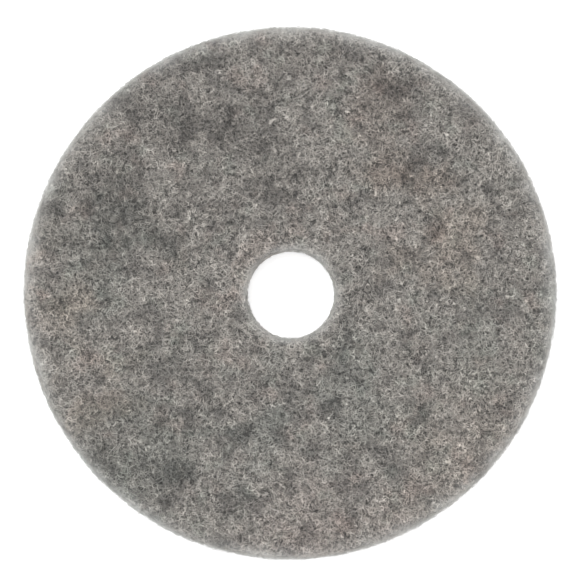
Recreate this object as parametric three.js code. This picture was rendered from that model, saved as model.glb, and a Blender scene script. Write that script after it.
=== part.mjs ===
// A round polishing and burnishing pad, of the kind that a floor machine spins.
// It is a thick disc of lofty fibre web, natural hair and polyester bonded with resin, cut out
// with a die. A cross-lapper lays it up from several thin plies, so it is built here as those
// plies: a denser, resin-rich face ply on each side, with softer core plies between them.
// The centre plug has been knocked out, which leaves the round hole that centres the pad.
//
// Millimetres, +Z up. The origin is at the centre of the bottom face.

import * as THREE from 'three';

// Driving dimensions
const PAD_DIAMETER = 508; // 20 in, across the widest part of the cut edge
const PAD_THICKNESS = 25.4; // 1 in
const HOLE_DIAMETER = 82.55; // 3 1/4 in, at its narrowest
const FACE_PLY_THICKNESS = 3.7; // the resin-rich ply on each side
const CORE_PLIES = ['core_web_lower', 'core_web_middle', 'core_web_upper'];
const PLY_GAP = 0.3; // the bond line between two plies

// The die squeezes the loft as it cuts, and the edge springs back leaning and softly rounded.
const RIM_LEAN = 4; // how much nearer the centre the rim is at the top face than at the bottom
const HOLE_LEAN = 1.5; // how much wider the hole is at the top face than at the bottom
const EDGE_ROUND = 3; // radius of the corner between a face and a cut wall

// Fineness of the round shapes
const TURN_STEPS = 120; // facets round the pad
const CORNER_STEPS = 5; // steps in each rounded corner

const FACE_WEB = { color: 0x827f7a, roughness: 0.95 };
const CORE_WEB = { color: 0x8e8c86, roughness: 1.0 };

// How far a rounded corner pulls a cut wall back into the web, at a height above the bottom face.
function cornerInset(height) {
  const depth = Math.min(height, PAD_THICKNESS - height);
  if (depth >= EDGE_ROUND) return 0;
  return EDGE_ROUND - Math.sqrt(EDGE_ROUND ** 2 - (EDGE_ROUND - depth) ** 2);
}

// The share of the wall's lean that is reached at a height: none up to the bottom corner, all of
// it at the top face.
function leanShare(height) {
  return Math.max(0, height - EDGE_ROUND) / (PAD_THICKNESS - EDGE_ROUND);
}

function rimRadius(height) {
  return PAD_DIAMETER / 2 - RIM_LEAN * leanShare(height) - cornerInset(height);
}

function holeRadius(height) {
  return HOLE_DIAMETER / 2 + HOLE_LEAN * leanShare(height) + cornerInset(height);
}

// Heights at which a wall between two heights is sampled: its two ends, with the steps of the
// rounded corner between them where the ply has one.
function wallHeights(bottom, top) {
  const heights = [bottom];
  const cornerDepths = [];
  for (let step = 1; step <= CORNER_STEPS; step += 1) {
    cornerDepths.push(EDGE_ROUND * (1 - Math.cos((step / CORNER_STEPS) * (Math.PI / 2))));
  }
  if (bottom === 0) heights.push(...cornerDepths);
  if (top === PAD_THICKNESS) {
    heights.push(...cornerDepths.toReversed().map((depth) => PAD_THICKNESS - depth));
  }
  heights.push(top);
  return heights;
}

// One ply: a flat ring between two heights, with the pad's rim outside and its hole inside.
// The section is drawn up the rim and back down the hole, and closes on itself.
function plyGeometry(bottom, top) {
  const heights = wallHeights(bottom, top);
  const section = [
    ...heights.map((height) => new THREE.Vector2(rimRadius(height), height - bottom)),
    ...heights.toReversed().map((height) => new THREE.Vector2(holeRadius(height), height - bottom)),
  ];
  section.push(section[0].clone());
  const ring = new THREE.LatheGeometry(section, TURN_STEPS);
  ring.rotateX(Math.PI / 2);
  return ring;
}

function makePly(name, look, bottom, thickness) {
  const material = new THREE.MeshStandardMaterial({ ...look, metalness: 0 });
  const ply = new THREE.Mesh(plyGeometry(bottom, bottom + thickness), material);
  ply.name = name;
  ply.position.z = bottom;
  return ply;
}

function makePad() {
  const pad = new THREE.Group();
  const coreHeight = PAD_THICKNESS - 2 * FACE_PLY_THICKNESS - (CORE_PLIES.length + 1) * PLY_GAP;
  const coreThickness = coreHeight / CORE_PLIES.length;
  const topFaceBottom = PAD_THICKNESS - FACE_PLY_THICKNESS;

  pad.add(makePly('bottom_face_web', FACE_WEB, 0, FACE_PLY_THICKNESS));
  CORE_PLIES.forEach((name, index) => {
    const bottom = FACE_PLY_THICKNESS + PLY_GAP + index * (coreThickness + PLY_GAP);
    pad.add(makePly(name, CORE_WEB, bottom, coreThickness));
  });
  pad.add(makePly('top_face_web', FACE_WEB, topFaceBottom, FACE_PLY_THICKNESS));
  return pad;
}

export default makePad();
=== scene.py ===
"""A round polishing pad of curly hair and polyester web, seen from straight above.

The pad's skin is one closed outline, the section through the web, turned round the centre hole. A
place on it is two numbers: how far along the section, and the angle round the hole. Each ply's web
is a grid on that skin, and every fibre is a short walk on it, so fibres bend over the cut edges.
"""

import math
from typing import NamedTuple

import bpy
import numpy as np
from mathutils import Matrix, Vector, noise


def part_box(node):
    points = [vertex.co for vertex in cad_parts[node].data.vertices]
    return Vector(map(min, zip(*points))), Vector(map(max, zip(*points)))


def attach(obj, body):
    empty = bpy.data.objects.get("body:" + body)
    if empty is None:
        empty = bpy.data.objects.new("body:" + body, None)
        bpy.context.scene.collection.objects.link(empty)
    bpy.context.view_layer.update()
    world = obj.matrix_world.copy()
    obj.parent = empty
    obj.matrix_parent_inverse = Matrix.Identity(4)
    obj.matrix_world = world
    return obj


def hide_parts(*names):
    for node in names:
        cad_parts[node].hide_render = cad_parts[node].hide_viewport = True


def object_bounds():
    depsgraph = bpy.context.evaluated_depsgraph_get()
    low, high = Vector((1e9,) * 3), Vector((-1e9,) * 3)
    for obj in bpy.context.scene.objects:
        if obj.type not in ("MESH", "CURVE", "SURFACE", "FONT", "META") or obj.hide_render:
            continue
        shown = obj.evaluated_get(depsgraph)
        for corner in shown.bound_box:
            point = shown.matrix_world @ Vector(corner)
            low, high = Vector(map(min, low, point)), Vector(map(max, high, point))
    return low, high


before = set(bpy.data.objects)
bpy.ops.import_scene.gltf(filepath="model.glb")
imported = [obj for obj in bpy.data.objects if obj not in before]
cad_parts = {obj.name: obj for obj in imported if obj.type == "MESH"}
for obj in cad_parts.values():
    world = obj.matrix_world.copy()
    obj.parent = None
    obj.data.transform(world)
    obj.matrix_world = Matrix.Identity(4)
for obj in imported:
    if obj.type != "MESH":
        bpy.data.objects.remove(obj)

MM = 0.001
CAD_LOW, CAD_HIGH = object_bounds()

# The pad's own sizes, read from the frame
BOTTOM_PLY = "bottom_face_web"
CORE_PLIES = ("core_web_lower", "core_web_middle", "core_web_upper")
TOP_PLY = "top_face_web"
PLIES = (BOTTOM_PLY, *CORE_PLIES, TOP_PLY)
PAD_RADIUS = (CAD_HIGH.x - CAD_LOW.x) / 2
THICKNESS = CAD_HIGH.z - CAD_LOW.z
HOLE_RADIUS = min(v.co.xy.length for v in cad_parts[BOTTOM_PLY].data.vertices)

# The cut edges, as the CAD section has them: how far they lean from the bottom to the top
EDGE_ROUND = 3 * MM
RIM_LEAN = 4 * MM
HOLE_LEAN = 1.5 * MM

# The web under the fibres
WEB_SINK = 0.7 * MM  # how far the web lies under the CAD skin, so that fibres come up to it
LUMP_HEIGHT = 0.9 * MM
CUT_LUMP_HEIGHT = 0.35 * MM  # the same on the cut edges, which the die left smoother
LUMP_SIZES = (16 * MM, 6.5 * MM)
PLY_BULGE = 0.5 * MM  # how far a ply's cut edge swells between its bond lines
BOND_WAVE = 0.7 * MM  # how far a bond line wanders up and down
BOND_WAVE_SIZE = 30 * MM
FACE_NORMAL = 0.9  # a normal that points up or down by more than this is on a face, not an edge
TURN_STEPS = 704  # the web's points round the hole
EDGE_STEP = 0.8 * MM  # the spacing of the web's points along the section, on the cut edges
FACE_STEP = 1.65 * MM  # the same on the faces

# How unevenly the die cut the pad, and how its loft recovers
RIM_WOBBLE = 0.5 * MM
LEAN_WOBBLE = 1.6 * MM  # how far the top edge of the rim wanders in and out over the bottom one
HOLE_WOBBLE = 0.4 * MM
HOLE_DRIFT = (0.9 * MM, -1.6 * MM)
HOLE_REACH = 0.4  # how far into the face the hole's unevenness carries, as a share of its width
LOFT_WAVE = 0.5 * MM
LOFT_WAVE_SIZE = 80 * MM
PRESSED = 0.3  # how much of what hangs under the pad is left once it lies on the floor

RANDOM = np.random.default_rng(7)


# ---- The section through the pad, as a closed outline of points (radius, height) ----

def arc(centre, radius, start, end, steps=9):
    """Points on an arc, with its angles in degrees, anticlockwise from the outward direction."""
    angles = np.radians(np.linspace(start, end, steps))
    return np.array(centre) + radius * np.stack([np.cos(angles), np.sin(angles)], 1)


def make_section():
    """The points of the rim, from the top face down to the bottom, and of the hole, back up."""
    low = EDGE_ROUND
    high = THICKNESS - EDGE_ROUND
    rim = np.concatenate([
        arc((PAD_RADIUS - RIM_LEAN - EDGE_ROUND, high), EDGE_ROUND, 90, 0),
        arc((PAD_RADIUS - EDGE_ROUND, low), EDGE_ROUND, 0, -90),
    ])
    hole = np.concatenate([
        arc((HOLE_RADIUS + EDGE_ROUND, low), EDGE_ROUND, 270, 180),
        arc((HOLE_RADIUS + HOLE_LEAN + EDGE_ROUND, high), EDGE_ROUND, 180, 90),
    ])
    return rim, hole


RIM, HOLE = make_section()
SECTION = np.concatenate([RIM, HOLE, RIM[:1]])
SECTION_AT = np.concatenate([[0.0], np.cumsum(np.linalg.norm(np.diff(SECTION, axis=0), axis=1))])
SECTION_LENGTH = SECTION_AT[-1]
RIM_AT = SECTION_AT[:len(RIM)]
HOLE_AT = SECTION_AT[len(RIM):-1]

# The four parts of the skin, from where to where they run along the section
RIM_EDGE = (RIM_AT[0], RIM_AT[-1])
BOTTOM_FACE = (RIM_AT[-1], HOLE_AT[0])
HOLE_EDGE = (HOLE_AT[0], HOLE_AT[-1])
TOP_FACE = (HOLE_AT[-1] - SECTION_LENGTH, 0.0)


def rim_at(height):
    """How far along the section the rim has that height."""
    return float(np.interp(-height, -RIM[:, 1], RIM_AT))


def hole_at(height):
    """How far along the section the hole's wall has that height."""
    return float(np.interp(height, HOLE[:, 1], HOLE_AT))


def section_point(along):
    """Radius and height of the section, that far along it."""
    along = np.mod(along, SECTION_LENGTH)
    return np.interp(along, SECTION_AT, SECTION[:, 0]), np.interp(along, SECTION_AT, SECTION[:, 1])


def section_normal(along, reach=0.5 * MM):
    """The outward direction, as its radial and upward parts, with the corners smoothed."""
    r0, z0 = section_point(along - reach)
    r1, z1 = section_point(along + reach)
    length = np.maximum(np.hypot(r1 - r0, z1 - z0), 1e-12)
    return (z0 - z1) / length, (r1 - r0) / length


def on_skin(along, around):
    """Points on the true section, and their outward normals, for arrays of the same shape."""
    r, z = section_point(along)
    nr, nz = section_normal(along)
    cos, sin = np.cos(around), np.sin(around)
    points = np.stack([r * cos, r * sin, z], -1)
    normals = np.stack([nr * cos, nr * sin, nz], -1)
    return points, normals


# ---- Unevenness ----

def smooth_noise(points, size, seed):
    """Smooth noise, about -1 to 1, at each point, with features of about that size."""
    shift = np.array((17.3, 5.9, 11.1)) * seed
    return np.fromiter((noise.noise(Vector(p)) for p in points / size + shift), float, len(points))


def eased(x):
    """A smooth climb from 0, where x is 0 or less, to 1, where it is 1 or more."""
    x = np.clip(x, 0, 1)
    return x * x * (3 - 2 * x)


def settle(points):
    """Gives points on the true section the pad's own uneven outline, hole and loft."""
    x, y, z = points.T
    radius = np.maximum(np.hypot(x, y), 1e-9)
    ring = np.stack([x / radius, y / radius, 0 * z], 1)  # on it, noise sizes are in radians
    span = PAD_RADIUS - HOLE_RADIUS
    near_rim = eased((radius - HOLE_RADIUS) / span)
    near_hole = eased(1 - (radius - HOLE_RADIUS) / (HOLE_REACH * span))
    outward = RIM_WOBBLE * near_rim * (smooth_noise(ring, 0.5, 1) + 0.3 * smooth_noise(ring, 0.12, 2))
    outward += LEAN_WOBBLE * near_rim * z / THICKNESS * smooth_noise(ring, 0.2, 9)
    outward += HOLE_WOBBLE * near_hole * smooth_noise(ring, 0.6, 3)
    moved = points + ring * outward[:, None]
    moved[:, :2] += near_hole[:, None] * np.array(HOLE_DRIFT)
    flat = points * (1, 1, 0)
    moved[:, 2] += LOFT_WAVE * z / THICKNESS * smooth_noise(flat, LOFT_WAVE_SIZE, 4)
    moved[:, 2] = np.where(moved[:, 2] < 0, PRESSED * moved[:, 2], moved[:, 2])
    return moved


def lumps(points, normals):
    """How far the web's skin stands above or below its mean, at points on the true section."""
    coarse, fine = LUMP_SIZES
    on_face = np.abs(normals[:, 2]) > FACE_NORMAL
    height = np.where(on_face, LUMP_HEIGHT, CUT_LUMP_HEIGHT)
    return height * (0.5 * smooth_noise(points, coarse, 5) + 0.7 * smooth_noise(points, fine, 6))


def bond_wave(points, height):
    """How far the bond line at that height wanders up or down, alike for the plies it joins."""
    bond = round(height / THICKNESS * len(PLIES))
    return BOND_WAVE * smooth_noise(points * (1, 1, 0), BOND_WAVE_SIZE, 60 + bond)


# ---- Meshes ----

def make_object(name, points, faces, material):
    """A smooth mesh object of one material."""
    mesh = bpy.data.meshes.new(name)
    mesh.from_pydata(points.tolist(), [], faces)
    mesh.shade_smooth()
    mesh.materials.append(material)
    piece = bpy.data.objects.new(name, mesh)
    bpy.context.scene.collection.objects.link(piece)
    return piece


def stations(start, end, spacing):
    """Even places from start to end along the section, about that far apart."""
    count = max(2, round((end - start) / spacing) + 1)
    return np.linspace(start, end, count)


def ply_stations(node):
    """Where a ply's skin is sampled along the section: one run, or two for a core ply."""
    low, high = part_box(node)
    if node == TOP_PLY:
        return [np.concatenate([
            stations(hole_at(low.z) - SECTION_LENGTH, TOP_FACE[0], EDGE_STEP)[:-1],
            stations(*TOP_FACE, FACE_STEP),
            stations(TOP_FACE[1], rim_at(low.z), EDGE_STEP)[1:],
        ])]
    if node == BOTTOM_PLY:
        return [np.concatenate([
            stations(rim_at(high.z), BOTTOM_FACE[0], EDGE_STEP)[:-1],
            stations(*BOTTOM_FACE, FACE_STEP),
            stations(BOTTOM_FACE[1], hole_at(high.z), EDGE_STEP)[1:],
        ])]
    return [
        stations(rim_at(high.z), rim_at(low.z), EDGE_STEP),
        stations(hole_at(low.z), hole_at(high.z), EDGE_STEP),
    ]


def skin_grid(node, run):
    """The points of a ply's skin along one run, as an array by place on the run and by turn."""
    low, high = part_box(node)
    turns = np.arange(TURN_STEPS) * (2 * math.pi / TURN_STEPS)
    along, around = np.meshgrid(run, turns, indexing="ij")
    points, normals = on_skin(along.ravel(), around.ravel())
    share = np.clip((points[:, 2] - low.z) / (high.z - low.z), 0, 1)
    on_wall = np.abs(normals[:, 2]) < FACE_NORMAL
    bulge = PLY_BULGE * on_wall * (4 * share * (1 - share) - 1)
    lift = lumps(points, normals) + bulge - WEB_SINK
    wave = np.zeros(len(points))
    if node != BOTTOM_PLY:
        wave += (1 - share) * bond_wave(points, low.z)
    if node != TOP_PLY:
        wave += share * bond_wave(points, high.z)
    moved = points + normals * lift[:, None]
    moved[:, 2] += wave * on_wall
    return settle(moved).reshape(len(run), TURN_STEPS, 3)


def make_web(node, material):
    """A ply's web: a closed ring whose cut edges and outer faces are lumpy, as wide as its node."""
    grids = [skin_grid(node, run) for run in ply_stations(node)]
    rows = []
    for grid, following in zip(grids, grids[1:] + grids[:1]):
        rows.append(grid)
        for share in (0.01, 0.99):  # the hidden flat between this run and the next
            rows.append((1 - share) * grid[-1:] + share * following[:1])
    ring = np.concatenate(rows)
    faces = ring_faces(*ring.shape[:2])
    piece = make_object(node + "_fibre_web", ring.reshape(-1, 3), faces, material)
    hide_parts(node)
    return piece


def ring_faces(along_count, turn_count):
    """The faces of a grid that closes both ways, facing out."""
    i, j = np.meshgrid(np.arange(along_count), np.arange(turn_count), indexing="ij")
    i, j = i.ravel(), j.ravel()
    i_next, j_next = (i + 1) % along_count, (j + 1) % turn_count
    corners = (i * turn_count + j, i_next * turn_count + j, i_next * turn_count + j_next,
               i * turn_count + j_next)
    return np.stack(corners, 1).tolist()


# ---- Fibres ----

class Strand(NamedTuple):
    """A kind of fibre: its sizes, its points, and how long its curls and its waves are."""
    length: float
    thickness: float
    joints: int
    curl: float
    crimp: float


FACE_STRAND = Strand(18 * MM, 0.42 * MM, 9, 9 * MM, 10 * MM)
EDGE_STRAND = Strand(8 * MM, 0.35 * MM, 9, 5 * MM, 5 * MM)
FUZZ_STRAND = Strand(6 * MM, 0.30 * MM, 6, 5 * MM, 6 * MM)
STRAND_SIDES = 3
RIPPLE = 0.35 * MM  # how far a fibre weaves up and down on its way
DIVE = 0.9 * MM  # how far its ends dive into the web
TAPER = 0.6  # how much thinner its ends are

# How much fibres of one kind differ, lowest and highest
LENGTH_SPREAD = (0.65, 1.25)
GIRTH_SPREAD = (0.7, 1.3)
CRIMP_SPREAD = (0.7, 1.5)
SWING_SPREAD = (0.2, 0.8)  # how far a crimp turns a fibre, in radians
WEAVE_SPREAD = (6, 16)  # how far a fibre goes through its ups and downs, in radians

# Where fibres of one colour gather: the size of the patches, and how strongly
GATHER_SIZE = 26 * MM
GATHER_STRENGTH = 0.4


def strand_places(count, region, gather=None):
    """Random starting places on a part of the skin, even over its area.

    gather is a seed for patches where fibres are likelier, or None where there are no patches.
    """
    start, end = region
    kept_along, kept_around = np.empty(0), np.empty(0)
    while len(kept_along) < count:
        along = RANDOM.uniform(start, end, count)
        around = RANDOM.uniform(0, 2 * math.pi, count)
        radius, _ = section_point(along)
        chance = radius / PAD_RADIUS
        if gather is not None:
            points, _ = on_skin(along, around)
            patches = smooth_noise(points, GATHER_SIZE, gather)
            chance = chance * np.clip(0.5 + GATHER_STRENGTH * patches, 0.05, 1)
        kept = RANDOM.uniform(0, 1, count) < chance
        kept_along = np.concatenate([kept_along, along[kept]])
        kept_around = np.concatenate([kept_around, around[kept]])
    return kept_along[:count], kept_around[:count]


def walk(along, around, strand):
    """Fibres as walks over the skin: two arrays by fibre and joint, along and around."""
    count = len(along)
    steps = RANDOM.uniform(*LENGTH_SPREAD, count) * strand.length / (strand.joints - 1)
    heading = RANDOM.uniform(0, 2 * math.pi, count)
    bend = RANDOM.normal(0, 1, count) / strand.curl
    wave = RANDOM.uniform(*CRIMP_SPREAD, count) * strand.crimp
    phase = RANDOM.uniform(0, 2 * math.pi, count)
    swing = RANDOM.uniform(*SWING_SPREAD, count)
    path_along, path_around = [along], [around]
    for joint in range(strand.joints - 1):
        travelled = steps * (joint + 0.5)
        angle = heading + bend * travelled + swing * np.sin(2 * math.pi * travelled / wave + phase)
        radius, _ = section_point(along)
        along = along + steps * np.cos(angle)
        around = around + steps * np.sin(angle) / radius
        path_along.append(along)
        path_around.append(around)
    return np.stack(path_along, 1), np.stack(path_around, 1)


def unit(vectors):
    """The same directions, with a length of 1."""
    return vectors / np.maximum(np.linalg.norm(vectors, axis=-1, keepdims=True), 1e-12)


def tubes(centres, normals, girth):
    """The corners of tubes round rows of centres, as an array by fibre, joint, side and axis."""
    tangents = np.gradient(centres, axis=1)
    sides = unit(np.cross(tangents, normals))
    ups = unit(np.cross(sides, tangents))
    turn = np.arange(STRAND_SIDES) * (2 * math.pi / STRAND_SIDES)
    ring = np.cos(turn)[:, None] * sides[:, :, None] + np.sin(turn)[:, None] * ups[:, :, None]
    return centres[:, :, None] + ring * girth[:, :, None, None]


def make_fibres(name, material, count, region, strand, lift, stray=0.0, gather=None):
    """Curly fibres on the skin, as thin closed tubes whose ends dive into the web.

    lift is how high over the web the fibres run, lowest and highest. stray is how far an end may
    stand out from the skin instead.
    """
    along, around = strand_places(count, region, gather)
    along, around = walk(along, around, strand)
    points, normals = on_skin(along, around)
    share = np.linspace(0, 1, strand.joints)
    ride = RANDOM.uniform(*lift, (count, 1))
    weave = share * RANDOM.uniform(*WEAVE_SPREAD, (count, 1)) + RANDOM.uniform(0, 6, (count, 1))
    dive = DIVE * np.abs(2 * share - 1) ** 6
    rise = RANDOM.uniform(0, stray, (count, 1)) * share ** 1.5
    height = ride + RIPPLE * np.sin(weave) - dive + rise
    flat_points, flat_normals = points.reshape(-1, 3), normals.reshape(-1, 3)
    height = height.ravel() + lumps(flat_points, flat_normals) - WEB_SINK
    centres = settle(flat_points + flat_normals * height[:, None]).reshape(points.shape)
    taper = 1 - TAPER * np.abs(2 * share - 1) ** 4
    girth = strand.thickness / 2 * RANDOM.uniform(*GIRTH_SPREAD, (count, 1)) * taper
    corners = tubes(centres, normals, girth).reshape(-1, 3)
    piece = make_object(name, corners, strand_faces(count, strand.joints), material)
    tone = np.repeat(RANDOM.uniform(0, 1, count), strand.joints * STRAND_SIDES).astype(np.float32)
    piece.data.attributes.new("tone", "FLOAT", "POINT").data.foreach_set("value", tone)
    return piece


def strand_faces(count, joints):
    """The faces of fibres whose points run by fibre, joint and side, with both ends closed."""
    sides = np.arange(STRAND_SIDES)
    following = (sides + 1) % STRAND_SIDES
    joint = np.arange(joints - 1)[:, None] * STRAND_SIDES
    quads = np.stack([joint + sides, joint + following, joint + STRAND_SIDES + following,
                      joint + STRAND_SIDES + sides], -1).reshape(-1, 4)
    first = sides[::-1]
    last = (joints - 1) * STRAND_SIDES + sides
    faces = []
    for fibre in range(count):
        base = fibre * joints * STRAND_SIDES
        faces += (quads + base).tolist()
        faces.append((first + base).tolist())
        faces.append((last + base).tolist())
    return faces


# ---- Materials ----

class Graph:
    """A material's node tree, with short calls for the nodes used here."""

    def __init__(self, name):
        self.material = bpy.data.materials.new(name)
        self.material.use_nodes = True
        self.tree = self.material.node_tree
        self.shader = self.tree.nodes["Principled BSDF"]
        self.place = self.add("ShaderNodeTexCoord").outputs["Object"]

    def add(self, kind):
        """A new node of that kind."""
        return self.tree.nodes.new(kind)

    def put(self, value, socket):
        """Links a socket, or sets a plain value."""
        if isinstance(value, bpy.types.NodeSocket):
            self.tree.links.new(value, socket)
        else:
            socket.default_value = value

    def shifted(self, seed):
        """The place, moved so that each seed has its own pattern."""
        node = self.add("ShaderNodeMapping")
        node.inputs["Location"].default_value = (seed * 3.7, seed * 1.9, seed * 2.3)
        self.put(self.place, node.inputs["Vector"])
        return node.outputs[0]

    def noise_node(self, place, size, detail):
        """A noise node with features of about that size in metres."""
        node = self.add("ShaderNodeTexNoise")
        self.put(place, node.inputs["Vector"])
        node.inputs["Scale"].default_value = 1 / size
        node.inputs["Detail"].default_value = detail
        return node

    def noise(self, size, seed, detail=2.0):
        """Noise from 0 to 1."""
        return self.noise_node(self.shifted(seed), size, detail).outputs["Fac"]

    def net(self, size, seed, thickness):
        """A mask of curving threads of that thickness, with open cells of about that size."""
        place = self.shifted(seed)
        bend = self.add("ShaderNodeVectorMath")
        bend.operation = "MULTIPLY_ADD"
        self.put(self.noise_node(place, size * 1.4, 1.0).outputs["Color"], bend.inputs[0])
        bend.inputs[1].default_value = (1.6 * size,) * 3
        self.put(place, bend.inputs[2])
        cells = self.add("ShaderNodeTexVoronoi")
        cells.feature = "DISTANCE_TO_EDGE"
        cells.inputs["Scale"].default_value = 1 / size
        self.put(bend.outputs[0], cells.inputs["Vector"])
        half = thickness / size / 2
        return self.steps(cells.outputs["Distance"], 0.4 * half, 1.5 * half, 1.0, 0.0)

    def maths(self, operation, first, second=0.0):
        """The result of one maths operation."""
        node = self.add("ShaderNodeMath")
        node.operation = operation
        self.put(first, node.inputs[0])
        self.put(second, node.inputs[1])
        return node.outputs[0]

    def steps(self, value, low, high, to_low=0.0, to_high=1.0):
        """value eased from to_low, where it is under low, to to_high, where it is over high."""
        node = self.add("ShaderNodeMapRange")
        node.interpolation_type = "SMOOTHSTEP"
        self.put(value, node.inputs["Value"])
        node.inputs["From Min"].default_value = low
        node.inputs["From Max"].default_value = high
        node.inputs["To Min"].default_value = to_low
        node.inputs["To Max"].default_value = to_high
        return node.outputs["Result"]

    def span(self, value, start, end):
        """0 where value is at start or before it, 1 at end or past it, and even between them."""
        node = self.add("ShaderNodeMapRange")
        self.put(value, node.inputs["Value"])
        node.inputs["From Min"].default_value = start
        node.inputs["From Max"].default_value = end
        return node.outputs["Result"]

    def mix(self, share, first, second, blend="MIX"):
        """The first colour with that share of the second."""
        node = self.add("ShaderNodeMix")
        node.data_type = "RGBA"
        node.blend_type = blend
        self.put(share, node.inputs["Factor"])
        self.put(first, node.inputs[6])
        self.put(second, node.inputs[7])
        return node.outputs[2]

    def along(self, direction):
        """How far the place is in a direction."""
        node = self.add("ShaderNodeVectorMath")
        node.operation = "DOT_PRODUCT"
        self.put(self.place, node.inputs[0])
        node.inputs[1].default_value = direction
        return node.outputs["Value"]

    def radius(self, x=0.0, y=0.0):
        """The distance from an upright line through x, y."""
        east = self.maths("SUBTRACT", self.along((1, 0, 0)), x)
        north = self.maths("SUBTRACT", self.along((0, 1, 0)), y)
        squares = [self.maths("MULTIPLY", part, part) for part in (east, north)]
        return self.maths("SQRT", self.maths("ADD", *squares))

    def attribute(self, name):
        """A value that the mesh keeps at its points."""
        node = self.add("ShaderNodeAttribute")
        node.attribute_name = name
        return node.outputs["Fac"]

    def grey(self, value):
        """A colour whose three parts are that value."""
        node = self.add("ShaderNodeCombineColor")
        for socket in node.inputs:
            self.put(value, socket)
        return node.outputs[0]


def linear(red, green, blue):
    """A colour given as the eye sees it, from 0 to 255, as the shader takes it."""
    def one(value):
        value = value / 255
        return value / 12.92 if value <= 0.04045 else ((value + 0.055) / 1.055) ** 2.4
    return (one(red), one(green), one(blue), 1.0)


# The blend's fibres
PALE = linear(186, 182, 176)
FAWN = linear(184, 179, 172)
GREY = linear(155, 151, 145)
ROSY = linear(150, 144, 138)
GREENISH = linear(122, 119, 113)
CHARCOAL = linear(42, 40, 38)
SHADED = linear(98, 95, 91)  # fibres deep in the web, a darker copy of the grey: painted shade
SHADED_FACE_GROUND = linear(72, 69, 66)  # the web between the fibres and its pits, darkened as painted shade
CORE_GROUND = linear(104, 103, 99)
# Painted shade for the pits between the fibres
PIT_SHADE = linear(34, 32, 30)
# Pale cut fibre, made paler still as painted light round the rim and hole
CUT_FIBRE_AND_EDGE_LIGHT = linear(222, 223, 221)

# What the small patches do to a colour: size, seed, noise levels, tint; the 5 mm ones are painted
# shade
PATCHES = (
    (30 * MM, 20, (0.54, 0.70), (1.05, 0.99, 0.98)),
    (26 * MM, 22, (0.54, 0.70), (0.955, 1.0, 0.985)),
    (22 * MM, 23, (0.50, 0.68), (0.60, 0.60, 0.605)),
    (18 * MM, 24, (0.50, 0.68), (1.07, 1.065, 1.06)),
    (9 * MM, 28, (0.53, 0.66), (0.75, 0.75, 0.75)),
    # Painted shade in the hollows between the fibres
    (5 * MM, 27, (0.55, 0.66), (0.44, 0.44, 0.44)),
)

# Broad soft spots where the blend drifts: place and reach in pad radii, and their tint
DARK = (0.77, 0.765, 0.765)
DUSKY = (0.88, 0.87, 0.87)
DARK_COOL = (0.74, 0.775, 0.77)
COOL = (0.88, 0.925, 0.925)
PALE_WARM = (1.13, 1.09, 1.07)
PALE_ROSY = (1.15, 1.09, 1.09)
OCHRE = (1.09, 1.035, 1.0)
BRIGHT_ROSY = (1.26, 1.21, 1.20)
SPOTS = (
    ((-0.42, 0.70), 0.36, DARK),
    ((-0.68, 0.42), 0.30, DARK),
    ((0.54, 0.61), 0.30, DARK),
    ((0.18, 0.84), 0.26, DUSKY),
    ((-0.72, 0.08), 0.34, DARK_COOL),
    ((-0.50, -0.60), 0.42, DARK_COOL),
    ((-0.12, 0.42), 0.30, DARK),
    ((0.25, -0.46), 0.34, COOL),
    ((0.72, -0.22), 0.28, COOL),
    ((-0.12, -0.62), 0.28, COOL),
    ((0.58, 0.24), 0.32, OCHRE),
    ((0.32, 0.60), 0.20, PALE_WARM),
    ((-0.80, -0.32), 0.22, OCHRE),
    ((-0.97, 0.02), 0.28, BRIGHT_ROSY),
    ((0.10, -0.85), 0.46, PALE_ROSY),
    ((0.72, -0.56), 0.54, PALE_WARM),
    ((-0.14, 0.14), 0.14, BRIGHT_ROSY),
)

# How light the strands of one colour are, and each strand along its length, lowest and highest
TONE = (0.72, 1.05)
MOTTLE = (0.85, 1.10)

# The nets of fine fibre in the web: colour, cell size and thread thickness, in millimetres
NETS = (
    # The SHADED nets are deep fibres with painted shade
    (SHADED, 4.5, 0.55),
    (CHARCOAL, 6.0, 0.45),
    (ROSY, 5.5, 0.45),
    (SHADED, 5.0, 0.50),
    (GREENISH, 4.8, 0.45),
    (GREY, 5.4, 0.45),
    (FAWN, 6.6, 0.40),
)

# The pale cut fibre and painted edge light: how far in from the edge they show, and how much
RIM_FADE, RIM_PALE = 30 * MM, 0.54
HOLE_FADE, HOLE_PALE = 20 * MM, 0.45
# The lip, the outermost band of the rim, is mostly painted light from the white table round the edge
LIP_FADE, LIP_PALE = 4 * MM, 0.62
MOST_PALE = 0.66  # the most of it that shows anywhere


def tinted(graph, share, colour, tint):
    """The colour, multiplied by the tint as far as the share says."""
    return graph.mix(share, colour, graph.mix(1.0, colour, (*tint, 1.0), "MULTIPLY"))


def cut_fibre_and_edge_light_share(graph):
    """How much pale cut fibre and painted edge light shows: most at the rim and hole, fading into the
    face.
    """
    rim = graph.span(graph.radius(), PAD_RADIUS - RIM_FADE, PAD_RADIUS)
    hole = graph.span(graph.radius(*HOLE_DRIFT), HOLE_RADIUS + HOLE_FADE, HOLE_RADIUS)
    lip = graph.span(graph.radius(), PAD_RADIUS - LIP_FADE, PAD_RADIUS + RIM_WOBBLE)
    rim = graph.maths("MULTIPLY", graph.maths("POWER", rim, 4.0), RIM_PALE)
    hole = graph.maths("MULTIPLY", graph.maths("POWER", hole, 4.0), HOLE_PALE)
    lip = graph.maths("MULTIPLY", graph.maths("POWER", lip, 2.0), LIP_PALE)
    uneven = graph.steps(graph.noise(28 * MM, 26, detail=3.0), 0.3, 0.7, 0.4, 1.3)
    share = graph.maths("MULTIPLY", graph.maths("MAXIMUM", rim, hole), uneven)
    return graph.maths("MINIMUM", graph.maths("ADD", share, lip), MOST_PALE)


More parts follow.
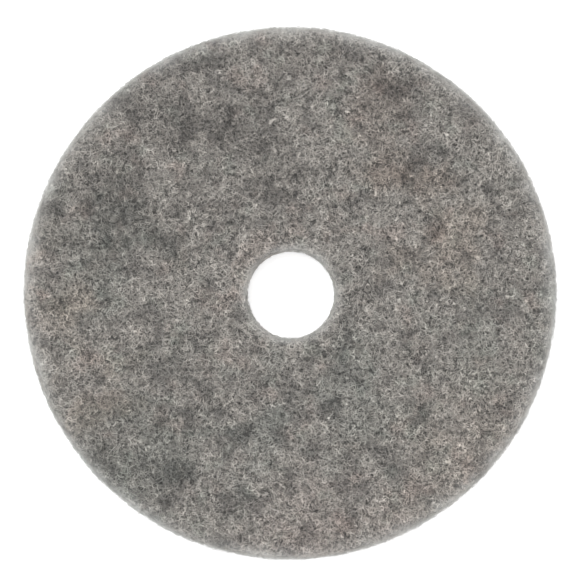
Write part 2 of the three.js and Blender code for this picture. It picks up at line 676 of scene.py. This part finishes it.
def blend_and_painted_light_tint(graph, colour):
    """The colour as the blend, painted shade in hollows and the pale cut edges with painted light
    change it.
    """
    for size, seed, (low, high), tint in PATCHES:
        share = graph.steps(graph.noise(size, seed, detail=4.0), low, high)
        colour = tinted(graph, share, colour, tint)
    ragged = graph.steps(graph.noise(45 * MM, 25, detail=3.0), 0.25, 0.75, -0.06, 0.06)
    for (x, y), reach, tint in SPOTS:
        off_spot = graph.maths("ADD", graph.radius(x * PAD_RADIUS, y * PAD_RADIUS), ragged)
        share = graph.steps(off_spot, 0.0, reach * PAD_RADIUS, 1.0, 0.0)
        colour = tinted(graph, share, colour, tint)
    return graph.mix(cut_fibre_and_edge_light_share(graph), colour, CUT_FIBRE_AND_EDGE_LIGHT)


def finish_fabric(graph, colour, height, depth):
    """Sets what all the fibres share: matt, a little sheen, uneven roughness and a bump.

    depth is how deep the bump is where height goes from 1 to 0.
    """
    shader = graph.shader
    graph.put(colour, shader.inputs["Base Color"])
    graph.put(graph.steps(graph.noise(3 * MM, 31), 0.3, 0.7, 0.72, 0.95), shader.inputs["Roughness"])
    bump = graph.add("ShaderNodeBump")
    bump.inputs["Strength"].default_value = 0.8
    bump.inputs["Distance"].default_value = depth
    graph.put(height, bump.inputs["Height"])
    graph.put(bump.outputs[0], shader.inputs["Normal"])
    shader.inputs["Specular IOR Level"].default_value = 0.25
    shader.inputs["Sheen Weight"].default_value = 0.25
    shader.inputs["Sheen Roughness"].default_value = 0.6
    return graph.material


def web_material(name, ground):
    """The web between the modelled fibres: nets of finer fibres over pits of painted shade."""
    graph = Graph(name)
    height = graph.steps(graph.noise(3.5 * MM, 11), 0.36, 0.62)
    # Where the noise is low the web is painted dark: painted shade in the pits
    colour = graph.mix(height, PIT_SHADE, ground)
    for index, (fibre, size, thickness) in enumerate(NETS):
        threads = graph.net(size * MM, 40 + 3 * index, thickness * MM)
        colour = graph.mix(threads, colour, fibre)
        raised = graph.maths("MULTIPLY", threads, 0.5 + 0.08 * index)
        height = graph.maths("MAXIMUM", raised, height)
    graph.shader.inputs["Base Color"].default_value = ground
    return finish_fabric(graph, blend_and_painted_light_tint(graph, colour), height, 0.6 * MM)


def fibre_material(name, fibre):
    """One colour of fibre, each strand a little lighter or darker, mottled along its length."""
    graph = Graph(name)
    tone = graph.grey(graph.steps(graph.attribute("tone"), 0.0, 1.0, *TONE))
    height = graph.noise(2.5 * MM, 12)
    mottle = graph.grey(graph.steps(height, 0.3, 0.7, *MOTTLE))
    colour = graph.mix(1.0, fibre, tone, "MULTIPLY")
    colour = graph.mix(1.0, colour, mottle, "MULTIPLY")
    graph.shader.inputs["Base Color"].default_value = fibre
    return finish_fabric(graph, blend_and_painted_light_tint(graph, colour), height, 0.1 * MM)


# ---- The pad ----

# The fibres on each face: colour, how many, and how high over the web they run, in millimetres
TOP_BLEND = (
    ("charcoal", 3700, (0.0, 0.8)),
    ("greenish", 3000, (-0.1, 0.5)),
    ("rosy", 3600, (0.0, 0.6)),
    ("grey", 3900, (0.0, 0.8)),
    ("fawn", 3900, (0.1, 0.9)),
    ("pale", 3900, (0.1, 1.0)),
)
BOTTOM_BLEND = (
    ("charcoal", 2000, (-0.2, 0.3)),
    ("rosy", 3600, (0.0, 0.6)),
    ("grey", 3600, (0.0, 0.8)),
    ("pale", 3600, (0.1, 1.0)),
)

# The cut edges: how many grey ends, pale ends and wisps of fuzz, and how far the fuzz stands out
EDGES = (
    ("rim", RIM_EDGE, (1600, 3600, 6000), 3.2 * MM),
    ("hole", HOLE_EDGE, (250, 550, 700), 1.8 * MM),
)


def make_webs():
    """The plies: resin-rich face webs whose dark ground is painted shade, and softer core webs."""
    face_web = web_material("face_web", SHADED_FACE_GROUND)
    core_web = web_material("core_web", CORE_GROUND)
    for node in PLIES:
        in_core = node in CORE_PLIES
        piece = make_web(node, core_web if in_core else face_web)
        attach(piece, "root")


def make_face_fibres(side, region, blend, colours):
    """The curly fibres on one face, a piece for each colour."""
    for index, (colour, count, (low, high)) in enumerate(blend):
        piece = make_fibres(f"{side}_{colour}_fibres", colours[colour], count, region, FACE_STRAND,
                            (low * MM, high * MM), gather=50 + index)
        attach(piece, "root")


def make_edge_fibres(edge, region, counts, stray, colours):
    """The cut ends of fibres on one edge, and the fuzz that stands out from it."""
    grey_count, pale_count, fuzz_count = counts
    ends = (0.1 * MM, 0.8 * MM)
    pieces = (
        make_fibres(f"{edge}_grey_fibres", colours["grey"], grey_count, region, EDGE_STRAND, ends,
                    stray=1 * MM),
        make_fibres(f"{edge}_pale_fibres", colours["pale"], pale_count, region, EDGE_STRAND, ends,
                    stray=1 * MM),
        make_fibres(f"{edge}_fuzz", colours["pale"], fuzz_count, region, FUZZ_STRAND,
                    (0.2 * MM, 0.9 * MM), stray=stray),
    )
    for piece in pieces:
        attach(piece, "root")


def make_pad():
    """The plies and all the fibres on them."""
    make_webs()
    colours = {
        "charcoal": fibre_material("charcoal_fibre", CHARCOAL),
        "greenish": fibre_material("greenish_fibre", GREENISH),
        "rosy": fibre_material("rosy_fibre", ROSY),
        "grey": fibre_material("grey_fibre", GREY),
        "fawn": fibre_material("fawn_fibre", FAWN),
        "pale": fibre_material("pale_fibre", PALE),
    }
    make_face_fibres("top", TOP_FACE, TOP_BLEND, colours)
    make_face_fibres("bottom", BOTTOM_FACE, BOTTOM_BLEND, colours)
    for edge, region, counts, stray in EDGES:
        make_edge_fibres(edge, region, counts, stray, colours)


# ---- Floor, light and camera ----

FLOOR_SIZE = 12.0
FLOOR_DROP = 1.0 * MM  # how far under the CAD the floor is, so that the lowest fibres lie on it
FLOOR_WHITE = 0.86
FLOOR_GLOW = 0.32
ROOM_LIGHT = 1.34
SOFTBOX_PLACE = (-0.7, 0.9, 1.9)
SOFTBOX_SIZE = 1.2
SOFTBOX_WATTS = 15
CAMERA_DISTANCE = 4.5
CAMERA_OFFSET = (1.4 * MM, 3.5 * MM)  # from the pad's axis
PICTURE_WIDTH = 2.190  # in pad radii
SENSOR_WIDTH = 36  # in millimetres, as the camera takes it


def table_material():
    """A light table: a matt white that glows a little."""
    graph = Graph("light_table")
    shader = graph.shader
    shader.inputs["Base Color"].default_value = (FLOOR_WHITE, FLOOR_WHITE, FLOOR_WHITE, 1)
    shader.inputs["Roughness"].default_value = 0.9
    shader.inputs["Emission Color"].default_value = (1, 1, 1, 1)
    shader.inputs["Emission Strength"].default_value = FLOOR_GLOW
    return graph.material


def make_floor():
    """The light table that the pad lies on."""
    mesh = bpy.data.meshes.new("floor")
    half = FLOOR_SIZE / 2
    corners = [(-half, -half, 0), (half, -half, 0), (half, half, 0), (-half, half, 0)]
    mesh.from_pydata(corners, [], [(0, 1, 2, 3)])
    mesh.materials.append(table_material())
    floor = bpy.data.objects.new("floor", mesh)
    bpy.context.scene.collection.objects.link(floor)
    floor.location.z = CAD_LOW.z - FLOOR_DROP


def make_light():
    """Even white light from all round, and a weak softbox up and to the left."""
    world = bpy.data.worlds.new("studio")
    world.use_nodes = True
    background = world.node_tree.nodes["Background"]
    background.inputs["Color"].default_value = (1, 1, 1, 1)
    background.inputs["Strength"].default_value = ROOM_LIGHT
    bpy.context.scene.world = world
    data = bpy.data.lights.new("softbox", "AREA")
    data.shape = "DISK"
    data.size = SOFTBOX_SIZE
    data.energy = SOFTBOX_WATTS
    softbox = bpy.data.objects.new("softbox", data)
    softbox.location = SOFTBOX_PLACE
    softbox.rotation_euler = softbox.location.to_track_quat("Z", "Y").to_euler()
    bpy.context.scene.collection.objects.link(softbox)


def make_camera():
    """A camera straight above the pad, far enough away to see its faces almost flat."""
    data = bpy.data.cameras.new("camera")
    distance = CAMERA_DISTANCE - EDGE_ROUND  # to the height where the pad is widest
    data.sensor_width = SENSOR_WIDTH
    data.lens = SENSOR_WIDTH * distance / (PICTURE_WIDTH * PAD_RADIUS)
    data.clip_end = 30
    camera = bpy.data.objects.new("camera", data)
    camera.location = (*CAMERA_OFFSET, CAMERA_DISTANCE)
    bpy.context.scene.collection.objects.link(camera)
    bpy.context.scene.camera = camera


bpy.context.scene.view_settings.view_transform = "Standard"
make_camera()
make_light()
make_floor()
make_pad()
